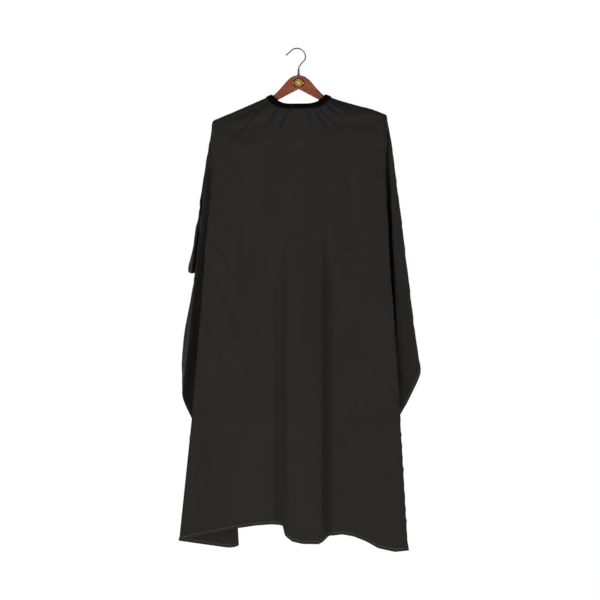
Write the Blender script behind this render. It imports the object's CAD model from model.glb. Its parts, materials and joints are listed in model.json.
"""Looks for a dark hairdressing cape hung on a flat wooden hanger.

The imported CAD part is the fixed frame: hook, hanger, badge and snaps are shown as they are. The cape's
cloth is one sheet, cut flat, laid over the arms and settled by a cloth simulation. Units are metres,
+Z is up and the front of the cape faces -Y.
"""

import json
import math

import bpy
import numpy as np
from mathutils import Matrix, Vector, geometry

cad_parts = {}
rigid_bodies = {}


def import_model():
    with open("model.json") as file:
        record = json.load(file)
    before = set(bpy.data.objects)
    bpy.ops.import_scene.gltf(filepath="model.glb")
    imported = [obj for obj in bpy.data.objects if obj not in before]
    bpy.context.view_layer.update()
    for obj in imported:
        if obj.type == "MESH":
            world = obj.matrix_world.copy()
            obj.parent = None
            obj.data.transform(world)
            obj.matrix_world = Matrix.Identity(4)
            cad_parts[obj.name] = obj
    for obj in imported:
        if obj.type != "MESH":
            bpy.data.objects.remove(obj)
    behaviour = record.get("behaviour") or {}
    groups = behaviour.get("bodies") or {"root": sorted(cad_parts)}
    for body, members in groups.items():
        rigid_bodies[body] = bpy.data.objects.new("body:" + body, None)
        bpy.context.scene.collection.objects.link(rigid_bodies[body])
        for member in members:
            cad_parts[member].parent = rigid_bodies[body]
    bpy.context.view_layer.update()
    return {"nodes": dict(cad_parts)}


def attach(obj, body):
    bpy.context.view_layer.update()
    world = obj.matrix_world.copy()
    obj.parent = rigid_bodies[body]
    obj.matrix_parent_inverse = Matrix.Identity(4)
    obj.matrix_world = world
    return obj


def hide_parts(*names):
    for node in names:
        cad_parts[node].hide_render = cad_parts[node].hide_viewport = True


# ---- the cape's flat pattern, seen from above with the neck at the origin ----
HALF_WIDTH = 0.635
FRONT_LENGTH = 1.174
BACK_LENGTH = 0.35
NECK_R = 0.090
FRONT_CORNER_R = 0.11
BACK_CORNER_R = 0.10
SLIT_HALF = 0.0012
MESH_STEP = 0.0145
FINE_R = 0.19
HEM_DEPTH = 0.009

# ---- how the pattern lies on the hanger ----
ARM_RAY = math.radians(-21.5)
ARM_SLOPE = math.radians(24.3)
ARM_LENGTH = 0.236
APEX_Z = -0.0885
ARM_FLAT = 0.0065
ARM_ROUND = 0.0035
RIGHT_LIFT = 0.0155
TIP_OUT = {1: 0.010, -1: 0.005}
BACK_OVERLAP = {1: math.radians(25), -1: math.radians(11)}
BACK_PLEATS = 3
BACK_PLEAT_DEPTH = 0.075
BACK_CENTRE_Y = 0.052
FRONT_CENTRE_Y = -0.047
# Where the cloth starts to be drawn in behind, and how much further out it may still reach.
BACK_DEPTH = 0.13
BACK_GIVE = 0.15
NECK_LIFT = 0.0175
FLARE = {1: 3.2, -1: 4.7}
# How far from the middle the cloth bulges, and how the rest of it leans back from upright.
FRONT_BULGE_HALF = 0.25
BACK_BULGE_HALF = 0.2
FRONT_LEAN = math.sin(math.radians(1.5))
BACK_LEAN = math.sin(math.radians(2.5))
# The sewn neck edge: height up the band, how far it pulls the cloth along, and its small gathers.
SEAM_UP = 0.0012
SEAM_REACH = 0.11
RIPPLE_DEPTH = 0.003
RIPPLES = 22
RIDGE_HALF_X = 0.232
# Folds beyond each arm tip: directions from the tip in degrees, outward then backward.
FOLDS = {
    1: [(3.2, -1.5), (0.9, 12.6), (3.4, 2.2), (9.1, 5.6), (5.6, 20.5), (4.8, 7), (3.6, 22.5), (3.0, 8),
        (1.6, 23), (1.2, 8), (0, 2.5)],
    -1: [(4.7, -1.5), (-3.4, 5.3), (3.2, 10.9), (7.2, 5), (5.4, 19), (6.2, 7), (6.0, 20),
         (8.9, 8), (5.6, 20.5), (3.4, 8), (1.8, 14.5), (0, 2.5)],
}
# How firmly single folds of these lists are held while the cloth settles, and how wide that reaches.
HELD_FOLDS = {
    1: {0: 0.6, 1: 0.45, 3: 0.75, 4: 0.4, 6: 0.3},
    -1: {0: 0.7, 1: 0.6, 3: 0.75, 6: 0.3, 7: 0.6},
}
HELD_WIDTH = 0.028
# The front panel's side edges as they show from the front, height and distance from the middle.
FRONT_EDGE = {
    1: [(-1.310, 0.2845), (-1.277, 0.2825), (-0.965, 0.2640), (-0.840, 0.2566), (-0.681, 0.2462),
        (-0.575, 0.2375), (-0.289, 0.2220), (-0.190, 0.2195)],
    -1: [(-1.290, 0.3115), (-1.277, 0.3105), (-0.965, 0.2780), (-0.837, 0.2675), (-0.655, 0.2520),
         (-0.504, 0.2415), (-0.341, 0.2240), (-0.237, 0.2178), (-0.190, 0.2165)],
}
# The front hem as it shows from the front, across and up, and the standing fold in its middle.
FRONT_HEM = [(-0.309, -1.278), (-0.272, -1.270), (-0.164, -1.247), (-0.110, -1.239), (-0.069, -1.236),
             (-0.040, -1.240), (-0.036, -1.262), (-0.017, -1.277), (0.010, -1.283), (0.052, -1.284),
             (0.070, -1.275), (0.080, -1.266), (0.113, -1.262), (0.142, -1.267), (0.175, -1.280),
             (0.205, -1.297), (0.246, -1.306), (0.285, -1.302)]
COLUMN = (-0.040, 0.068)
COLUMN_DEPTH = 0.024
RIGHT_GROOVE = 0.0125
LEFT_GROOVE = 0.0075
# Soft upright folds of the front panel: distance across, top, bottom, depth, width.
SOFT_FOLDS = [(-0.137, -0.26, -0.80, 0.0045, 0.016), (0.134, -0.25, -0.62, 0.004, 0.014),
              (0.166, -0.25, -0.55, -0.004, 0.013), (-0.075, -0.35, -0.9, -0.003, 0.02)]
# Gathers under the neckband: degrees from the middle at each end, reach from the neck, depth.
CREASES = [(-31.6, -36, 0.150, 0.0040), (-14.3, -25, 0.162, 0.0045), (23.7, 34, 0.158, 0.0045),
           (-53.5, -51, 0.265, 0.0030), (46.3, 52, 0.160, 0.0028), (4.0, 5.0, 0.120, 0.0020),
           (-3.5, -5.5, 0.118, 0.0018), (13.5, 17.5, 0.118, 0.0022), (-22.5, -27, 0.122, 0.0022)]
CREASE_GAIN = 1.3
CLOTH_THICKNESS = 0.0016
HEM_SHARE = 0.35

# ---- camera ----
CAMERA_DISTANCE = 4.2
CAMERA_X = 0.0036
CAMERA_Z = -0.6526
CAMERA_SENSOR = 36
CAMERA_VIEW_WIDTH = 1.56

# ---- neckband ring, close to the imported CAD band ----
BAND_HALF_X = 0.084
BAND_TOP_X = 0.068
BAND_W = 0.0194
BAND_T = 0.0038
BAND_FRONT = {"top": (-0.037, -0.1483), "low": (-0.051, -0.1610)}
BAND_BACK = {"top": (0.042, -0.1446), "low": (0.053, -0.1606)}
ARM_TOP_AT_BAND = {"top": -0.1229, "low": -0.1295}
BAND_SIDE_RISE = {1: 0.0022, -1: 0.0014}
BAND_END_X = -0.027
BAND_BACK_LEFT_X = -0.037
TAB_HINGE_X = -0.052
TAB_END_X = 0.015
TAB_THICK = 0.002
TAB_LIFT = 0.0049

# ---- settling ----
SETTLE_FRAMES = 36
KEEP_BACK = 0.03
KEEP_FRONT = 0.035
KEEP_SIDE = 0.08
KEEP_NECK = 0.12
CLOTH_GAP = 0.0028
ARM_GAP = 0.0015

# ---- surfaces ----
STITCH_FROM_HEM = 0.0072
BAND_STITCH_LOW = 0.0022
BAND_STITCH_HIGH = 0.0172
WEAVE_RATE = 4200.0
RIB_RATE = 2600.0
PETAL_WAVES = 6.0
BADGE_Z = -0.089


def smooth(x):
    x = np.clip(x, 0, 1)
    return x * x * (3 - 2 * x)


# ---------------------------------------------------------------- flat pattern
def arc(cx, cy, r, a0, a1, step):
    n = max(3, int(abs(a1 - a0) * r / step))
    return [(cx + r * math.cos(a0 + (a1 - a0) * k / n), cy + r * math.sin(a0 + (a1 - a0) * k / n))
            for k in range(n + 1)]


def line(p, q, step):
    n = max(1, int(math.dist(p, q) / step))
    return [(p[0] + (q[0] - p[0]) * k / n, p[1] + (q[1] - p[1]) * k / n) for k in range(n + 1)]


def hem_half(inset, step):
    """The right half of the cut edge, inset by a distance, from the back slit to the front's middle."""
    w, f, b = HALF_WIDTH - inset, FRONT_LENGTH - inset, BACK_LENGTH - inset
    rf, rb = FRONT_CORNER_R - inset, BACK_CORNER_R - inset
    pts = line((SLIT_HALF, b), (w - rb, b), step)
    pts += arc(w - rb, b - rb, rb, math.pi / 2, 0, step)[1:]
    pts += line((w, b - rb), (w, -(f - rf)), step)[1:]
    pts += arc(w - rf, -(f - rf), rf, 0, -math.pi / 2, step)[1:]
    pts += line((w - rf, -f), (0, -f), step)[1:]
    return pts


def hem_line(inset, step):
    right = hem_half(inset, step)
    return right + [(-x, y) for x, y in reversed(right[:-1])]


def hem_distance(p):
    """Distance from the cut edge, inwards, for flat points, the slit included."""
    x, y = np.abs(p[:, 0]), p[:, 1]
    r = np.where(y > 0, BACK_CORNER_R, FRONT_CORNER_R)
    length = np.where(y > 0, BACK_LENGTH, FRONT_LENGTH)
    qx, qy = x - (HALF_WIDTH - r), np.abs(y) - (length - r)
    inside = np.minimum(np.maximum(qx, qy), 0) + np.hypot(np.maximum(qx, 0), np.maximum(qy, 0)) - r
    slit = np.where(y > 0, x - SLIT_HALF, 9)
    return np.minimum(-inside, slit)


def arm_tip_flat():
    return ARM_LENGTH * math.cos(ARM_RAY), ARM_LENGTH * math.sin(ARM_RAY)


def fan(side):
    """The flat directions between which the cloth hangs beyond an arm tip: front fold and back fold."""
    first = math.pi + ARM_RAY + math.pi / 2 + ARM_SLOPE + math.radians(FLARE[side]) - 2 * math.pi
    last = math.pi + ARM_RAY - math.pi / 2 - ARM_SLOPE
    return first, last


def fold_curve(side):
    """Outward and backward angle along the folded fan, against the angle measured in the flat cloth."""
    p = np.array(FOLDS[side], float)
    first, last = fan(side)
    total = math.degrees(last - first)
    run = np.concatenate([[0], np.cumsum(np.linalg.norm(np.diff(p, axis=0), axis=1))])
    run *= total / run[-1]
    dense = np.linspace(0, total, 600)
    ax, ay = np.interp(dense, run, p[:, 0]), np.interp(dense, run, p[:, 1])
    width = 9
    kernel = np.ones(width) / width
    pad = lambda a: np.concatenate([np.full(width // 2, a[0]), a, np.full(width // 2, a[-1])])
    return dense, np.convolve(pad(ax), kernel, "valid"), np.convolve(pad(ay), kernel, "valid"), run


def grid_points(step):
    rows = []
    y, odd = -FRONT_LENGTH, 0
    while y < BACK_LENGTH:
        xs = np.arange(-HALF_WIDTH + (step / 2 if odd else 0), HALF_WIDTH, step)
        rows.append(np.stack([xs, np.full_like(xs, y)], 1))
        y += step * 0.866
        odd = 1 - odd
    return np.concatenate(rows)


def flat_mesh():
    """Triangles over the pattern, with edges along the hem and along the folds."""
    outer = hem_line(0, MESH_STEP)
    start = math.pi / 2 - SLIT_HALF / NECK_R
    neck = arc(0, 0, NECK_R, start - 2 * math.pi + 2 * SLIT_HALF / NECK_R, start, MESH_STEP * 0.5)
    loop = outer + neck
    verts = [Vector(p) for p in loop]
    edges = [(k, (k + 1) % len(loop)) for k in range(len(loop))]
    guides = [hem_line(HEM_DEPTH, MESH_STEP)]
    for side in (1, -1):
        first, last = fan(side)
        run = fold_curve(side)[3]
        tip = arm_tip_flat()
        for a in run:
            way = first + math.radians(a)
            reach = 0.02
            pts = []
            while True:
                p = np.array([[tip[0] + reach * math.cos(way), tip[1] + reach * math.sin(way)]])
                if hem_distance(p)[0] < HEM_DEPTH + MESH_STEP * 0.6:
                    break
                if reach > 0.05:
                    pts.append((side * p[0, 0], p[0, 1]))
                reach += MESH_STEP
            if len(pts) > 1:
                guides.append(pts)
    for edge in COLUMN:
        for off in (-0.0065, 0, 0.0065):
            rows = np.arange(-FRONT_LENGTH + HEM_DEPTH + MESH_STEP * 0.7, -0.42, MESH_STEP)
            guides.append([(edge * 1.02 + off, y) for y in rows])
    for pts in guides:
        base = len(verts)
        verts += [Vector(p) for p in pts]
        edges += [(base + k, base + k + 1) for k in range(len(pts) - 1)]
    fixed = np.array([tuple(p) for p in verts])
    coarse, fine = grid_points(MESH_STEP), grid_points(MESH_STEP / 2)
    apart = np.hypot(coarse[:, 0], coarse[:, 1]), np.hypot(fine[:, 0], fine[:, 1])
    coarse = coarse[(apart[0] > FINE_R) & (hem_distance(coarse) > MESH_STEP * 0.5)]
    fine = fine[(apart[1] < FINE_R) & (apart[1] > NECK_R + MESH_STEP * 0.3)]
    grid = np.concatenate([coarse, fine])
    near = np.full(len(grid), 9.0)
    for k in range(0, len(fixed), 400):
        part = fixed[k:k + 400]
        near = np.minimum(near, np.linalg.norm(grid[:, None] - part[None], axis=2).min(1))
    small = np.hypot(grid[:, 0], grid[:, 1]) < FINE_R
    verts += [Vector(p) for p in grid[near > MESH_STEP * np.where(small, 0.3, 0.6)]]
    face = [list(range(len(loop)))]
    out = geometry.delaunay_2d_cdt(verts, edges, face, 1, 1e-6)
    flat, tris = np.array([tuple(p) for p in out[0]]), np.array([tuple(f) for f in out[2]])
    used, index = np.unique(tris, return_inverse=True)
    return flat[used], [tuple(map(int, t)) for t in index.reshape(-1, 3)]


# ---------------------------------------------------------------- the neck ring
def band_edges(angle):
    """Top and low edge of the neckband: angle 0 at the right arm, 90 degrees at the back."""
    c, s = np.cos(angle), np.sin(angle)
    power = np.where(s < 0, 1.8, 7.0)
    norm = (np.abs(c) ** power + np.abs(s) ** power) ** (-1 / power)
    share = smooth(np.abs(s * norm))
    rise = np.where(c > 0, BAND_SIDE_RISE[1], BAND_SIDE_RISE[-1])
    ends = {}
    for key, half in (("top", BAND_TOP_X), ("low", BAND_HALF_X)):
        y = np.where(s < 0, BAND_FRONT[key][0], BAND_BACK[key][0])
        z = np.where(s < 0, BAND_FRONT[key][1], BAND_BACK[key][1])
        side_z = ARM_TOP_AT_BAND[key] + rise
        ends[key] = np.stack([half * c * norm, np.abs(s * norm) * y, side_z + (z - side_z) * share], -1)
    return ends["top"], ends["low"]


def ring_angle(phi, side):
    """The ring angle at which a flat ray meets the neckband."""
    back_x = BAND_END_X if side > 0 else BAND_BACK_LEFT_X
    back_end = math.atan2(BAND_HALF_X, side * back_x)
    front = (phi - ARM_RAY) / (math.pi / 2 + ARM_RAY) * (math.pi / 2)
    back = (phi - ARM_RAY) / (math.pi / 2 - ARM_RAY) * back_end
    a = np.where(phi < ARM_RAY, front, back)
    return a if side > 0 else math.pi - a


# ---------------------------------------------------------------- laid on the hanger
def laid(flat):
    """Where each flat point lies when the cape is hung over the arms, before it settles."""
    out = np.zeros((len(flat), 3))
    for side in (1, -1):
        m = (flat[:, 0] >= 0) if side > 0 else (flat[:, 0] < 0)
        out[m] = laid_half(np.abs(flat[m, 0]), flat[m, 1], side)
    return out


def arm_fall(x, z):
    """Distance below the line of the arm."""
    return -(z - APEX_Z) * math.cos(ARM_SLOPE) - x * math.sin(ARM_SLOPE)


def over_arm(d):
    """How far out and how far down the cloth is, d along it from the arm's ridge."""
    turn = np.clip((d - ARM_FLAT) / ARM_ROUND, 0, math.pi / 2)
    out = np.clip(d, 0, ARM_FLAT) + ARM_ROUND * np.sin(turn)
    drop = ARM_ROUND * (1 - np.cos(turn)) + np.clip(d - ARM_FLAT - ARM_ROUND * math.pi / 2, 0, None)
    return out, np.where(d < 0, d, drop)


def laid_half(u, w, side, sewn=True):
    r, phi = np.hypot(u, w), np.arctan2(w, u)
    first, last = fan(side)
    tip_u, tip_w = arm_tip_flat()
    rho, way = np.hypot(u - tip_u, w - tip_w), np.arctan2(w - tip_w, u - tip_u)
    # front: turned down about the head of the hanger, its slack taken in towards the middle
    phi_f = math.atan2(-FRONT_LENGTH, tip_u + (FRONT_LENGTH + tip_w) / math.tan(-first))
    k = np.clip((phi + math.pi / 2) / (phi_f + math.pi / 2), 0, 1)
    a = phi - (ARM_SLOPE + ARM_RAY) * k
    xf, zf = r * np.cos(a), APEX_Z + r * np.sin(a) + NECK_LIFT * (1 - smooth(k))
    fall_f = arm_fall(xf, zf)
    middle = np.cos(np.clip(xf / FRONT_BULGE_HALF, 0, 1) * math.pi / 2) ** 1.3 * smooth(fall_f / 0.05)
    lean = np.clip(fall_f, 0, 2) * FRONT_LEAN
    yf = -lean * (1 - middle) + (FRONT_CENTRE_Y - 0.013 * smooth(fall_f / 0.9)) * middle
    # back: turned down behind, gathered into pleats
    phi_b = math.atan2(BACK_LENGTH, tip_u + (BACK_LENGTH - tip_w) / math.tan(last))
    c0 = phi_b - ARM_RAY
    share = (phi - phi_b) / (math.pi / 2 - phi_b)
    room = math.pi / 2 - ARM_SLOPE + BACK_OVERLAP[side]
    chi = np.where(phi < phi_b, phi - ARM_RAY, c0 + share * (room - c0))
    b = -ARM_SLOPE - chi
    xb, zb = r * np.cos(b), APEX_Z + r * np.sin(b) + 0.02 * smooth(share)
    fall_b = arm_fall(xb, zb)
    middle_b = np.cos(np.clip(xb / BACK_BULGE_HALF, 0, 1) * math.pi / 2) ** 1.3 * smooth(fall_b / 0.05)
    lean_b = np.clip(fall_b, 0, 2) * BACK_LEAN
    pleat = r * BACK_PLEAT_DEPTH * np.sin(share * 2 * math.pi * BACK_PLEATS) * smooth(share * 3)
    yb = lean_b * (1 - middle_b) + (BACK_CENTRE_Y - 0.010 * side) * middle_b + np.where(share > 0, pleat, 0)
    # beyond the tip: a fan of folds hanging from the tip
    dense, ax, ay, _ = fold_curve(side)
    turn = np.degrees(way - first)
    out_a, back_a = np.radians(np.interp(turn, dense, ax)), np.radians(np.interp(turn, dense, ay))
    down = np.sqrt(1 - np.sin(out_a) ** 2 - np.sin(back_a) ** 2)
    tip_x, tip_z = ARM_LENGTH * math.cos(ARM_SLOPE), APEX_Z - ARM_LENGTH * math.sin(ARM_SLOPE)
    xc, yc, zc = tip_x + rho * np.sin(out_a), rho * np.sin(back_a), tip_z - rho * down
    in_fan = (way > first) & (way < last)
    front = phi < ARM_RAY
    x = np.where(in_fan, xc, np.where(front, xf, xb))
    y = np.where(in_fan, yc, np.where(front, yf, yb))
    z = np.where(in_fan, zc, np.where(front, zf, zb))
    # bent over the rounded top of the arm and round its end
    fall = arm_fall(x, z)
    bend, drop = over_arm(fall)
    facing = np.where(in_fan, np.clip(2 * turn / dense[-1] - 1, -1, 1), np.where(front, -1, 1))
    own = np.where(in_fan, 1, np.where(front, 1 - middle, 1 - middle_b))
    y = y + facing * bend * own
    x = x + (fall - drop) * math.sin(ARM_SLOPE)
    z = z + (fall - drop) * math.cos(ARM_SLOPE)
    near_tip = smooth((x - 0.15) / 0.06) * (1 - smooth((fall - 0.10) / 0.45))
    x = x + TIP_OUT[side] * near_tip
    if side > 0:
        z = z + RIGHT_LIFT * smooth((x - 0.07) / 0.14) * (1 - smooth(fall / 0.55))
    p = np.stack([x * side, y, z], -1)
    if not sewn:
        return p
    # the neck edge is sewn to the band
    table = np.linspace(-math.pi / 2, math.pi / 2, 361)
    free = laid_half(NECK_R * np.cos(table), NECK_R * np.sin(table), side, False)
    off = seam_point(table, side) - free
    shift = np.stack([np.interp(phi, table, off[:, c]) for c in range(3)], -1)
    p = p + shift * (1 - smooth((r - NECK_R) / SEAM_REACH))[:, None]
    ripple = RIPPLE_DEPTH * np.cos(phi * RIPPLES + 0.6 * np.sin(phi * 5))
    ripple = ripple * np.exp(-(r - NECK_R) / 0.04) * smooth((r - NECK_R) / 0.012)
    p[:, 1] += ripple * smooth((np.abs(p[:, 1]) - 0.015) / 0.02) * np.sign(p[:, 1])
    return p


def band_frame(angle):
    """Low edge of the band with its directions up and away from the neck."""
    top, low = band_edges(angle)
    up = (top - low) / np.linalg.norm(top - low, axis=-1, keepdims=True)
    run = band_edges(angle - 0.01)[1] - band_edges(angle + 0.01)[1]
    out = np.cross(up, run)
    out /= np.linalg.norm(out, axis=-1, keepdims=True)
    return low, up, out


def seam_point(phi, side):
    low, up, out = band_frame(ring_angle(phi, side))
    return low + up * SEAM_UP + out * (BAND_T * 0.35)


# ---------------------------------------------------------------- settling
def new_object(name, verts, faces):
    me = bpy.data.meshes.new(name)
    me.from_pydata([tuple(p) for p in verts], [], faces)
    me.update()
    o = bpy.data.objects.new(name, me)
    bpy.context.scene.collection.objects.link(o)
    return o


def held_weight(flat):
    """How firmly each point is kept by the folds that show from the front."""
    out = np.zeros(len(flat))
    tip_u, tip_w = arm_tip_flat()
    for side, folds in HELD_FOLDS.items():
        first, last = fan(side)
        run = fold_curve(side)[3]
        way = np.arctan2(flat[:, 1] - tip_w, np.abs(flat[:, 0]) - tip_u)
        turn = np.degrees(way - first)
        rho = np.hypot(flat[:, 1] - tip_w, np.abs(flat[:, 0]) - tip_u)
        for k, strength in folds.items():
            near = strength * np.exp(-(np.radians(turn - run[k]) * rho / HELD_WIDTH) ** 2)
            out = np.where(flat[:, 0] * side >= 0, np.maximum(out, near), out)
    return np.round(out * 16) / 16


def settle(flat, tris, start, arms):
    """Runs the cloth on a throwaway object and returns where its points end."""
    cloth = new_object("settling", start, tris)
    cloth.shape_key_add(name="Basis")
    rest = cloth.shape_key_add(name="flat")
    rest.data.foreach_set("co", np.concatenate([flat, np.zeros((len(flat), 1))], 1).ravel())
    rest.value = 0
    pin = cloth.vertex_groups.new(name="pin")
    r = np.hypot(flat[:, 0], flat[:, 1])
    fall = arm_fall(np.abs(start[:, 0]), start[:, 2])
    lift = np.where(start[:, 0] > 0.08, RIGHT_LIFT, 0)
    ridge = (fall < 0.004 + lift) & (np.abs(start[:, 1]) < 0.0115)
    ridge &= np.abs(start[:, 0]) < RIDGE_HALF_X
    sewn = (r < NECK_R + 0.001) | ridge
    front = (np.abs(start[:, 0]) < 0.31) & (start[:, 1] < -0.012)
    near_neck = (r < 0.14) & (start[:, 1] < 0)
    beside = np.abs(start[:, 0]) > 0.222
    weight = np.where(front, KEEP_FRONT, KEEP_BACK)
    weight = np.where(beside, KEEP_SIDE, weight)
    weight = np.maximum(weight, held_weight(flat))
    weight = np.where(near_neck, KEEP_NECK, weight)
    weight = np.where(sewn, 1.0, weight)
    for w in np.unique(weight):
        pin.add([int(i) for i in np.nonzero(weight == w)[0]], float(w), "REPLACE")
    bodies = []
    for arm in arms:
        o = bpy.data.objects.new("arm_body", arm.data.copy())
        bpy.context.scene.collection.objects.link(o)
        o.modifiers.new("hit", "COLLISION")
        o.collision.thickness_outer = ARM_GAP
        o.collision.cloth_friction = 20
        bodies.append(o)
    mod = cloth.modifiers.new("cloth", "CLOTH")
    s = mod.settings
    s.quality = 6
    s.mass = 0.1
    s.air_damping = 3
    s.tension_stiffness = s.compression_stiffness = 30
    s.shear_stiffness = 15
    s.bending_stiffness = 0.12
    s.tension_damping = s.compression_damping = 15
    s.shear_damping = 10
    s.bending_damping = 1.0
    s.rest_shape_key = rest
    s.vertex_group_mass = "pin"
    s.pin_stiffness = 1.0
    c = mod.collision_settings
    c.use_collision = True
    c.collision_quality = 2
    c.distance_min = 0.002
    c.use_self_collision = True
    c.self_distance_min = CLOTH_GAP
    c.self_friction = 3
    scene = bpy.context.scene
    mod.point_cache.frame_start, mod.point_cache.frame_end = 1, SETTLE_FRAMES
    for f in range(1, SETTLE_FRAMES + 1):
        scene.frame_set(f)
    evaluated = cloth.evaluated_get(bpy.context.evaluated_depsgraph_get())
    co = np.zeros(len(flat) * 3)
    evaluated.data.vertices.foreach_get("co", co)
    scene.frame_set(1)
    for o in [cloth, *bodies]:
        bpy.data.objects.remove(o)
    return co.reshape(-1, 3)


# ---------------------------------------------------------------- finished cloth
def refined(flat, tris, shape):
    """Each triangle cut into four."""
    t = np.array(tris)
    pairs = np.sort(np.concatenate([t[:, [0, 1]], t[:, [1, 2]], t[:, [2, 0]]]), axis=1)
    edges, index = np.unique(pairs, axis=0, return_inverse=True)
    index = index.ravel() + len(flat)
    ab, bc, ca = np.split(index, 3)
    a, b, c = t.T
    small = [(a, ab, ca), (ab, b, bc), (ca, bc, c), (ab, bc, ca)]
    out = np.concatenate([np.stack(q, 1) for q in small])
    middle = lambda p: np.concatenate([p, p[edges].mean(1)])
    return middle(flat), out, middle(shape)


def smoothed(points, tris, rounds, weight):
    """Evens the surface out a little, then puts back the size that this loses."""
    e = np.concatenate([tris[:, [0, 1]], tris[:, [1, 2]], tris[:, [2, 0]]])
    both = np.unique(np.concatenate([e, e[:, ::-1]]), axis=0)
    n = len(points)
    count = np.bincount(both[:, 0], minlength=n)[:, None]
    out = points.copy()
    for k in range(2 * rounds):
        total = np.stack([np.bincount(both[:, 0], out[both[:, 1], c], n) for c in range(3)], -1)
        out += (total / count - out) * (0.5 if k % 2 == 0 else -0.45) * weight[:, None]
    return out


def in_picture(x, z, y):
    """Where a point shows in the plane of the hook, seen from the camera."""
    s = (CAMERA_DISTANCE + y) / CAMERA_DISTANCE
    return CAMERA_X + (x - CAMERA_X) / s, CAMERA_Z + (z - CAMERA_Z) / s, s


def front_share(flat):
    """1 on the front panel, fading out just round its side folds."""
    share = np.zeros(len(flat))
    for side in (1, -1):
        m = flat[:, 0] * side >= 0
        u, w = np.abs(flat[:, 0]), flat[:, 1]
        tip_u, tip_w = arm_tip_flat()
        first, last = fan(side)
        way = np.arctan2(w - tip_w, u - tip_u)
        turn = np.degrees(way - first)
        on_front = (np.arctan2(w, u) < ARM_RAY) & ~((way > first) & (way < last))
        value = np.where(on_front, 1.0, np.where(turn > 0, 1 - smooth(turn / 14), 0.0))
        share = np.where(m, value, share)
    return share


def edge_shift(flat, p, side):
    """Straightens the fold down one side of the front panel and brings it to where it shows."""
    tip_u, tip_w = arm_tip_flat()
    way = np.arctan2(flat[:, 1] - tip_w, np.abs(flat[:, 0]) - tip_u)
    turn = np.degrees(way - fan(side)[0])
    x, z, s = in_picture(p[:, 0], p[:, 2], p[:, 1])
    on = (flat[:, 0] * side > 0) & (np.abs(turn) < 0.02) & (z < -0.26)
    order = np.argsort(z[on])
    now = np.interp(z, z[on][order], x[on][order])
    want = side * np.interp(z, *np.array(FRONT_EDGE[side]).T)
    lateral = np.clip(x / now, 0, 1.2) ** 3
    return (want - now) * s * lateral * smooth((-z - 0.22) / 0.10) * (flat[:, 0] * side > 0)


def trued(flat, shape):
    """Brings the front hem and the standing fold to where they show, and adds soft folds and gathers."""
    p = shape.copy()
    share = front_share(flat)
    x, z, s = in_picture(p[:, 0], p[:, 2], p[:, 1])
    hem = (hem_distance(flat) < 1e-4) & (share > 0.999)
    order = np.argsort(x[hem])
    across = np.where((share < 1) & (flat[:, 0] < 0), -1.0, x)
    now = np.interp(across, x[hem][order], z[hem][order])
    want = np.interp(across, *np.array(FRONT_HEM).T)
    down = np.clip((-z - 0.32) / 0.92, 0, 1.05) ** 1.4
    p[:, 2] += (want - now) * s * down * share
    for side in (1, -1):
        p[:, 0] += edge_shift(flat, p, side) * share
    mid, half = sum(COLUMN) / 2, (COLUMN[1] - COLUMN[0]) / 2
    t = (x - mid) / half
    low = smooth((-z - 0.40) / 0.5)
    body = np.where(t < 0, smooth((1.10 + t) / 0.34), smooth((1.06 - t) / 0.24)) * (1 - 0.25 * t * t)
    right = np.exp(-((t - 1.15) / 0.12) ** 2) * smooth((-z - 0.42) / 0.18)
    left = np.exp(-((t + 1.20) / 0.15) ** 2) * smooth((-z - 0.43) / 0.30)
    p[:, 1] += (RIGHT_GROOVE * right + LEFT_GROOVE * left - COLUMN_DEPTH * body * low) * share
    for at, top, bottom, depth, width in SOFT_FOLDS:
        reach = smooth((top - z) / 0.12) * smooth((z - bottom) / 0.18)
        p[:, 1] += depth * np.exp(-((x - at) / width) ** 2) * reach * share
    r, turn = np.hypot(flat[:, 0], flat[:, 1]), np.degrees(np.arctan2(flat[:, 0], -flat[:, 1]))
    for a0, a1, reach, depth in CREASES:
        along = np.clip((r - NECK_R) / (reach - NECK_R), 0, 1.2)
        off = r * np.radians(turn - (a0 + (a1 - a0) * along))
        width = 0.0030 + 0.022 * (r - NECK_R)
        fade = smooth((1.05 - along) / 0.6) * smooth((r - NECK_R) / 0.010)
        valley = np.exp(-(off / width) ** 2) - 0.55 * np.exp(-((off - 2.1 * width) / (1.5 * width)) ** 2)
        p[:, 1] += CREASE_GAIN * depth * valley * fade * share
    return p


def within_depth(p):
    """Draws in what stands out furthest behind, so that it stays inside the frame's depth."""
    over = np.clip(p[:, 1] - BACK_DEPTH, 0, None)
    p[:, 1] += BACK_GIVE * (1 - np.exp(-over / BACK_GIVE)) - over
    return p


def add_uv(obj, name, per_vertex):
    layer = obj.data.uv_layers.new(name=name)
    loops = np.zeros(len(obj.data.loops), np.int32)
    obj.data.loops.foreach_get("vertex_index", loops)
    layer.data.foreach_set("uv", per_vertex[loops].ravel())


def apply_modifiers(obj):
    bpy.context.view_layer.update()
    made = bpy.data.meshes.new_from_object(obj.evaluated_get(bpy.context.evaluated_depsgraph_get()))
    obj.modifiers.clear()
    obj.data = made


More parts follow.
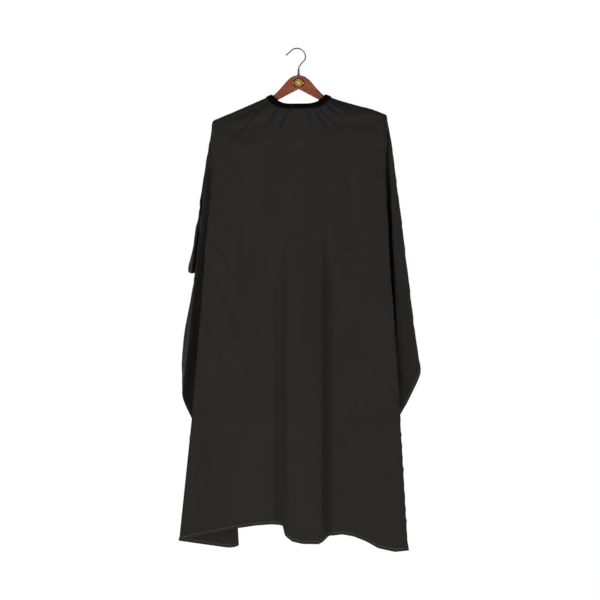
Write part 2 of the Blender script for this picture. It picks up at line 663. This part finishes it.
def finished_cloth(flat, tris, shape):
    flat, tris, shape = refined(flat, tris, shape)
    edge = hem_distance(flat)
    r = np.hypot(flat[:, 0], flat[:, 1])
    inner = smooth(edge / 0.02) * smooth((r - NECK_R) / 0.015)
    shape = smoothed(shape, tris, 4, 0.35 * (r > NECK_R + 0.001) + 0.65 * inner)
    shape = within_depth(trued(flat, shape))
    obj = new_object("cape_cloth", shape, [tuple(map(int, t)) for t in tris])
    add_uv(obj, "flat", flat)
    add_uv(obj, "edge", np.stack([edge, r], -1))
    hem = obj.vertex_groups.new(name="hem")
    hem.add([int(i) for i in np.nonzero(edge < HEM_DEPTH * 1.05)[0]], 1.0, "REPLACE")
    for p in obj.data.polygons:
        p.use_smooth = True
    wall = obj.modifiers.new("thickness", "SOLIDIFY")
    wall.thickness = CLOTH_THICKNESS
    wall.offset = 0
    wall.vertex_group = "hem"
    wall.thickness_vertex_group = HEM_SHARE
    apply_modifiers(obj)
    return obj


# ---------------------------------------------------------------- neckband and tab
def rounded_strip(name, lows, ups, outs, width, thick, section):
    """A strip with a rounded section, swept along stations."""
    verts, faces = [], []
    m = len(section)
    for low, up, out, w, t in zip(lows, ups, outs, width, thick):
        for a, b in section:
            verts.append(low + up * (b * w) + out * (a * t))
    for i in range(len(lows) - 1):
        for j in range(m):
            k = (j + 1) % m
            faces.append((i * m + j, i * m + k, (i + 1) * m + k, (i + 1) * m + j))
    faces.append(tuple(reversed(range(m))))
    faces.append(tuple((len(lows) - 1) * m + j for j in range(m)))
    obj = new_object(name, verts, faces)
    for p in obj.data.polygons:
        p.use_smooth = len(p.vertices) == 4
    return obj


def oval_section(n, squareness):
    pts = []
    for k in range(n):
        a = 2 * math.pi * k / n
        c, s = math.cos(a), math.sin(a)
        g = (abs(c) ** squareness + abs(s) ** squareness) ** (-1 / squareness)
        pts.append((0.5 + 0.5 * c * g, 0.5 + 0.5 * s * g))
    return pts


def neckband():
    start = math.atan2(BAND_HALF_X, BAND_END_X)
    end = math.atan2(BAND_HALF_X, TAB_HINGE_X + 0.012) - 2 * math.pi
    n, m = 420, 20
    low, up, out = band_frame(np.linspace(start, end, n))
    length = np.concatenate([[0], np.cumsum(np.linalg.norm(np.diff(low, axis=0), axis=1))])
    top, bottom = band_edges(np.linspace(start, end, n))
    wide = np.minimum(BAND_W, np.linalg.norm(top - bottom, axis=1))
    gathered = smooth((length - 0.12) / 0.03) * smooth((length[-1] - 0.03 - length) / 0.03)
    ribs = np.sin(length / 0.0042 * 2 * math.pi + 1.1 * np.sin(length / 0.017)) * 0.00035 * gathered
    wander = 0.0006 * np.sin(length / 0.031 + 0.7) * gathered
    front = smooth((-low[:, 1] - 0.010) / 0.020)
    low = low + up * (wander - 0.0014 * front)[:, None] - out * (0.0002 + 0.0004 * front)[:, None]
    section = oval_section(m, 3.4)
    wide = wide + ribs * 0.6 + 0.0014 * front
    thick = BAND_T + 0.0003 + ribs + 0.0008 * front
    obj = rounded_strip("neckband_cloth", low, up, out, wide, thick, section)
    add_uv(obj, "flat", np.array([(x, w * BAND_W) for x in length for _, w in section]))
    return obj


def back_point(x, n, w):
    top = np.array([x, BAND_BACK["top"][0], BAND_BACK["top"][1]])
    low = np.array([x, BAND_BACK["low"][0], BAND_BACK["low"][1]])
    up = (top - low) / np.linalg.norm(top - low)
    out = np.array([0, up[2], -up[1]])
    return low + up * w + out * n, up, out


def neck_tab():
    floor = BAND_T + 0.0005
    xs = np.linspace(TAB_HINGE_X, TAB_END_X, 60)
    lows, ups, outs, widths = [], [], [], []
    for x in xs:
        n = floor + TAB_LIFT * float(smooth((x - TAB_HINGE_X - 0.011) / 0.012))
        nose = min(1.0, (TAB_END_X - x) / 0.006) if x > 0.009 else 1.0
        w = BAND_W * (0.80 + 0.20 * math.sqrt(max(0.0, 1 - (1 - nose) ** 2)))
        p, up, out = back_point(x, n, (BAND_W - w) / 2)
        lows.append(p)
        ups.append(up)
        outs.append(out)
        widths.append(w)
    section = oval_section(16, 4.5)
    obj = rounded_strip("neckband_tab_cloth", lows, ups, outs, widths, [TAB_THICK] * len(xs), section)
    add_uv(obj, "flat", np.array([(x, w * BAND_W) for x in xs for _, w in section]))
    return obj


# ---------------------------------------------------------------- materials
class Shader:
    """A small helper over one material's nodes."""

    def __init__(self, name):
        self.mat = bpy.data.materials.new(name)
        self.mat.use_nodes = True
        self.tree = self.mat.node_tree
        self.base = self.tree.nodes["Principled BSDF"]

    def node(self, kind, **values):
        n = self.tree.nodes.new(kind)
        for key, value in values.items():
            if hasattr(n, key):
                setattr(n, key, value)
            else:
                n.inputs[key.replace("_", " ")].default_value = value
        return n

    def join(self, a, out, b, into):
        self.tree.links.new(a.outputs[out], b.inputs[into])
        return b

    def set(self, **values):
        for key, value in values.items():
            self.base.inputs[key.replace("_", " ")].default_value = value

    def math(self, operation, a, b=None, clamp=False):
        n = self.tree.nodes.new("ShaderNodeMath")
        n.operation = operation
        n.use_clamp = clamp
        for k, x in enumerate((a, b)):
            if x is None:
                continue
            if isinstance(x, (int, float)):
                n.inputs[k].default_value = x
            else:
                self.tree.links.new(x, n.inputs[k])
        return n.outputs[0]

    def ramp(self, source, stops):
        n = self.tree.nodes.new("ShaderNodeValToRGB")
        for e, (pos, col) in zip(n.color_ramp.elements, (stops[0], stops[-1])):
            e.position, e.color = pos, (*col, 1)
        for pos, col in stops[1:-1]:
            e = n.color_ramp.elements.new(pos)
            e.color = (*col, 1)
        self.tree.links.new(source, n.inputs[0])
        return n

    def vary_roughness(self, noise, spread, least):
        rough = self.math("ADD", self.math("MULTIPLY", noise.outputs[0], spread), least)
        self.tree.links.new(rough, self.base.inputs["Roughness"])

    def bump(self, height, strength, distance):
        n = self.tree.nodes.new("ShaderNodeBump")
        n.inputs["Strength"].default_value = strength
        n.inputs["Distance"].default_value = distance
        self.tree.links.new(height, n.inputs["Height"])
        self.tree.links.new(n.outputs[0], self.base.inputs["Normal"])


def uv_parts(s, layer):
    uv = s.node("ShaderNodeUVMap", uv_map=layer)
    cut = s.node("ShaderNodeSeparateXYZ")
    s.join(uv, 0, cut, 0)
    return uv, cut.outputs[0], cut.outputs[1]


def cape_material():
    s = Shader("cape_fabric")
    s.set(Roughness=0.82)
    s.base.inputs["Specular IOR Level"].default_value = 0.14
    s.base.inputs["Sheen Weight"].default_value = 0.03
    s.base.inputs["Sheen Roughness"].default_value = 0.45
    uv, u, v = uv_parts(s, "flat")
    _, edge, _ = uv_parts(s, "edge")
    tone = s.node("ShaderNodeTexNoise", Scale=9.0, Detail=3.0, Roughness=0.55)
    s.join(uv, 0, tone, 0)
    colour = s.ramp(tone.outputs[0], [(0.25, (0.0143, 0.0124, 0.0118)), (0.75, (0.0163, 0.0142, 0.0136))])
    # a row of stitches along the hem
    near = s.math("ABSOLUTE", s.math("SUBTRACT", edge, STITCH_FROM_HEM))
    row = s.math("LESS_THAN", near, 0.0007)
    along = s.math("ADD", u, v)
    dash = s.math("LESS_THAN", s.math("FRACT", s.math("MULTIPLY", along, 300.0)), 0.72)
    stitch = s.math("MULTIPLY", row, dash)
    mix = s.node("ShaderNodeMix", data_type="RGBA")
    s.tree.links.new(stitch, mix.inputs[0])
    s.tree.links.new(colour.outputs[0], mix.inputs[6])
    mix.inputs[7].default_value = (0.075, 0.070, 0.065, 1)
    s.tree.links.new(mix.outputs[2], s.base.inputs["Base Color"])
    weave_u = s.math("SINE", s.math("MULTIPLY", u, WEAVE_RATE))
    weave_v = s.math("SINE", s.math("MULTIPLY", v, WEAVE_RATE))
    weave = s.math("MULTIPLY", s.math("MULTIPLY", weave_u, weave_v), 0.00004)
    crumple = s.node("ShaderNodeTexNoise", Scale=26.0, Detail=5.0, Roughness=0.6)
    s.join(uv, 0, crumple, 0)
    fold_edge = s.math("MULTIPLY", s.math("LESS_THAN", edge, HEM_DEPTH), 0.0005)
    woven = s.math("ADD", weave, fold_edge)
    crumpled = s.math("MULTIPLY", crumple.outputs[0], 0.0011)
    height = s.math("ADD", woven, s.math("ADD", crumpled, s.math("MULTIPLY", stitch, 0.0003)))
    s.bump(height, 1.0, 1.0)
    return s.mat


def band_material():
    s = Shader("neckband_fabric")
    s.set(Roughness=0.85)
    s.base.inputs["Specular IOR Level"].default_value = 0.10
    uv, u, v = uv_parts(s, "flat")
    rib = s.math("MULTIPLY", s.math("SINE", s.math("MULTIPLY", u, RIB_RATE)), 0.00008)
    low = s.math("LESS_THAN", s.math("ABSOLUTE", s.math("SUBTRACT", v, BAND_STITCH_LOW)), 0.0005)
    high = s.math("LESS_THAN", s.math("ABSOLUTE", s.math("SUBTRACT", v, BAND_STITCH_HIGH)), 0.0005)
    dash = s.math("LESS_THAN", s.math("FRACT", s.math("MULTIPLY", u, 330.0)), 0.7)
    row = s.math("MULTIPLY", s.math("ADD", low, high, True), dash)
    mix = s.node("ShaderNodeMix", data_type="RGBA")
    s.tree.links.new(row, mix.inputs[0])
    mix.inputs[6].default_value = (0.0012, 0.0011, 0.0012, 1)
    mix.inputs[7].default_value = (0.008, 0.0075, 0.0075, 1)
    s.tree.links.new(mix.outputs[2], s.base.inputs["Base Color"])
    grain = s.node("ShaderNodeTexNoise", Scale=900.0, Detail=2.0)
    s.join(uv, 0, grain, 0)
    s.bump(s.math("ADD", rib, s.math("MULTIPLY", grain.outputs[0], 0.0001)), 0.8, 1.0)
    return s.mat


def wood_material(side):
    s = Shader(f"wood_{'right' if side > 0 else 'left'}")
    s.set(Roughness=0.42)
    s.base.inputs["Specular IOR Level"].default_value = 0.28
    s.base.inputs["Coat Weight"].default_value = 0.05
    s.base.inputs["Coat Roughness"].default_value = 0.3
    where = s.node("ShaderNodeTexCoord")
    turn = s.node("ShaderNodeMapping")
    turn.inputs["Rotation"].default_value = (0, side * ARM_SLOPE, 0)
    turn.inputs["Scale"].default_value = (5.0, 60.0, 75.0)
    s.join(where, 3, turn, 0)
    grain = s.node("ShaderNodeTexNoise", Scale=1.6, Detail=7.0, Roughness=0.62, Distortion=0.6)
    s.join(turn, 0, grain, 0)
    ring = s.node("ShaderNodeTexWave", Scale=0.55, Distortion=5.0, Detail=3.0, Detail_Scale=1.2)
    ring.bands_direction = "Z"
    s.join(turn, 0, ring, 0)
    streaks, rings = s.math("MULTIPLY", grain.outputs[0], 0.85), s.math("MULTIPLY", ring.outputs[1], 0.15)
    colour = s.ramp(s.math("ADD", streaks, rings),
                    [(0.25, (0.160, 0.030, 0.012)), (0.5, (0.225, 0.044, 0.016)),
                     (0.75, (0.275, 0.060, 0.023))])
    s.tree.links.new(colour.outputs[0], s.base.inputs["Base Color"])
    s.vary_roughness(grain, 0.18, 0.28)
    s.bump(s.math("MULTIPLY", grain.outputs[0], 0.00018), 0.6, 1.0)
    return s.mat


def metal_material(name, colour, roughness, scale, depth):
    s = Shader(name)
    s.set(Base_Color=(*colour, 1), Roughness=roughness, Metallic=1.0)
    where = s.node("ShaderNodeTexCoord")
    noise = s.node("ShaderNodeTexNoise", Scale=scale, Detail=4.0)
    s.join(where, 3, noise, 0)
    s.vary_roughness(noise, 0.16, roughness - 0.08)
    tone = s.ramp(noise.outputs[0], [(0.3, tuple(c * 0.82 for c in colour)), (0.7, colour)])
    s.tree.links.new(tone.outputs[0], s.base.inputs["Base Color"])
    s.bump(s.math("MULTIPLY", noise.outputs[0], depth), 0.5, 1.0)
    return s.mat


def rosette_material():
    """Brass with darkened lines between the petals and round the middle disc."""
    s = Shader("brass_rosette")
    s.set(Metallic=1.0)
    where = s.node("ShaderNodeTexCoord")
    cut = s.node("ShaderNodeSeparateXYZ")
    s.join(where, 3, cut, 0)
    x, z = cut.outputs[0], s.math("ADD", cut.outputs[2], -BADGE_Z)
    angle = s.math("ARCTAN2", z, x)
    reach = s.math("SQRT", s.math("ADD", s.math("MULTIPLY", x, x), s.math("MULTIPLY", z, z)))
    petal = s.math("ABSOLUTE", s.math("COSINE", s.math("MULTIPLY", angle, PETAL_WAVES)))
    petal = s.math("POWER", petal, 0.7)
    disc = s.math("LESS_THAN", reach, 0.0070)
    rim = s.math("LESS_THAN", s.math("ABSOLUTE", s.math("SUBTRACT", reach, 0.0074)), 0.0006)
    line = s.math("LESS_THAN", s.math("ABSOLUTE", s.math("SUBTRACT", reach, 0.0056)), 0.00028)
    bright = s.math("MAXIMUM", petal, disc)
    bright = s.math("MULTIPLY", bright, s.math("SUBTRACT", 1.0, s.math("MAXIMUM", rim, line)), True)
    tone = s.ramp(bright, [(0.0, (0.045, 0.024, 0.008)), (0.55, (0.30, 0.17, 0.045)),
                           (1.0, (0.50, 0.30, 0.085))])
    s.tree.links.new(tone.outputs[0], s.base.inputs["Base Color"])
    noise = s.node("ShaderNodeTexNoise", Scale=900.0, Detail=3.0)
    s.join(where, 3, noise, 0)
    s.vary_roughness(noise, 0.2, 0.42)
    s.bump(s.math("MULTIPLY", bright, 0.0002), 0.6, 1.0)
    return s.mat


def plain_material(name, colour, roughness, metallic=0.0, coat=0.0):
    s = Shader(name)
    s.set(Base_Color=(*colour, 1), Roughness=roughness, Metallic=metallic)
    s.base.inputs["Coat Weight"].default_value = coat
    where = s.node("ShaderNodeTexCoord")
    noise = s.node("ShaderNodeTexNoise", Scale=420.0, Detail=3.0)
    s.join(where, 3, noise, 0)
    s.vary_roughness(noise, 0.2, roughness - 0.1)
    return s.mat


def dress(obj, mat, angle=None):
    obj.data.materials.clear()
    obj.data.materials.append(mat)
    if angle is not None:
        for p in obj.data.polygons:
            p.use_smooth = True
        obj.data.set_sharp_from_angle(angle=angle)


# ---------------------------------------------------------------- stage, lights, camera
def white_surface(name, verts, faces, grey, glow):
    obj = new_object(name, verts, faces)
    for p in obj.data.polygons:
        p.use_smooth = True
    s = Shader(name)
    s.set(Base_Color=(grey, grey, grey, 1), Roughness=0.9)
    s.base.inputs["Specular IOR Level"].default_value = 0.1
    s.base.inputs["Emission Color"].default_value = (1, 1, 1, 1)
    s.base.inputs["Emission Strength"].default_value = glow
    obj.data.materials.append(s.mat)
    return obj


def stage():
    """A white sweep that lights the cape without being seen, and a white room that is only seen."""
    floor_z, wall_y, bend = -1.62, 2.6, 0.9
    turn = [math.radians(90 * k / 12) for k in range(13)]
    profile = [(-7.0, floor_z)]
    profile += [(wall_y - bend + bend * math.sin(a), floor_z + bend - bend * math.cos(a)) for a in turn]
    profile.append((wall_y, 1.3))
    verts = [(x, y, z) for y, z in profile for x in (-8.0, 8.0)]
    faces = [(2 * i, 2 * i + 1, 2 * i + 3, 2 * i + 2) for i in range(len(profile) - 1)]
    sweep = white_surface("studio_sweep", verts, faces, 0.93, 0.62)
    sweep.visible_camera = False
    room_r, room_floor, room_top, sides = 7.0, -3.4, 6.0, 48
    profile = [(0.01, room_floor)]
    profile += [(room_r - bend + bend * math.sin(a), room_floor + bend - bend * math.cos(a)) for a in turn]
    profile += [(room_r, room_top), (0.01, room_top)]
    ring = [math.tau * k / sides for k in range(sides)]
    verts = [(r * math.cos(a), r * math.sin(a), z) for r, z in profile for a in ring]
    faces = []
    for i in range(len(profile) - 1):
        lower, upper = i * sides, (i + 1) * sides
        faces += [(lower + k, lower + (k + 1) % sides, upper + (k + 1) % sides, upper + k)
                  for k in range(sides)]
    room = white_surface("studio_room", verts, faces, 0.0, 1.0)
    room.visible_diffuse = room.visible_glossy = room.visible_shadow = False
    room.visible_transmission = room.visible_volume_scatter = False


def area_light(name, place, target, size, power):
    lamp = bpy.data.lights.new(name, "AREA")
    lamp.shape = "RECTANGLE"
    lamp.size, lamp.size_y = size
    lamp.energy = power
    o = bpy.data.objects.new(name, lamp)
    o.location = place
    o.rotation_euler = (Vector(target) - Vector(place)).to_track_quat("-Z", "Y").to_euler()
    bpy.context.scene.collection.objects.link(o)


def lights():
    world = bpy.data.worlds.new("studio")
    bpy.context.scene.world = world
    world.use_nodes = True
    world.node_tree.nodes["Background"].inputs[0].default_value = (1, 1, 1, 1)
    world.node_tree.nodes["Background"].inputs[1].default_value = 0.08
    area_light("key", (-1.6, -4.2, -0.75), (0, 0, -0.65), (2.0, 2.0), 105)
    area_light("fill", (2.0, -4.0, -0.9), (0, 0, -0.7), (2.4, 2.4), 62)


def camera():
    cam = bpy.data.cameras.new("camera")
    cam.sensor_width = CAMERA_SENSOR
    cam.lens = CAMERA_SENSOR * CAMERA_DISTANCE / CAMERA_VIEW_WIDTH
    o = bpy.data.objects.new("camera", cam)
    o.location = (CAMERA_X, -CAMERA_DISTANCE, CAMERA_Z)
    o.rotation_euler = (math.radians(90), 0, 0)
    bpy.context.scene.collection.objects.link(o)
    bpy.context.scene.camera = o


# ---------------------------------------------------------------- main
for o in list(bpy.data.objects):
    bpy.data.objects.remove(o)
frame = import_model()
nodes = frame["nodes"]

flat, tris = flat_mesh()
start = laid(flat)
arms = [nodes["hanger_arm_left"], nodes["hanger_arm_right"]]
shape = settle(flat, tris, start, arms)

cloth = finished_cloth(flat, tris, shape)
dress(cloth, cape_material())
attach(cloth, "cape")
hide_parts(*[n for n in nodes if n.startswith("cape_")])

band_mat = band_material()
band = neckband()
dress(band, band_mat)
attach(band, "cape")
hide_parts("neckband", "neckband_elastic")
tab = neck_tab()
dress(tab, band_mat)
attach(tab, "neck_tab")
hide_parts("neckband_tab")

steel = metal_material("hook_steel", (0.11, 0.11, 0.115), 0.32, 300.0, 0.00002)
brass = metal_material("brass", (0.62, 0.36, 0.10), 0.34, 260.0, 0.00003)
dark = plain_material("badge_bronze", (0.018, 0.013, 0.010), 0.45, 0.5)
snap = plain_material("snap_plastic", (0.010, 0.010, 0.011), 0.32, 0.0, 0.3)
crease = math.radians(40)
for name, node in nodes.items():
    if name.startswith("hanger_arm"):
        dress(node, wood_material(1 if name.endswith("right") else -1), crease)
    elif name in ("hook", "hook_sleeve", "hook_nut"):
        dress(node, steel, crease)
    elif name == "badge_plate":
        dress(node, dark, crease)
    elif name.startswith("snap"):
        dress(node, snap, crease)
    elif name == "badge_rosette":
        dress(node, rosette_material(), crease)
    elif name == "hook_bush" or name.startswith("badge_pin"):
        dress(node, brass, crease)

stage()
lights()
camera()
bpy.context.scene.view_settings.view_transform = "Standard"
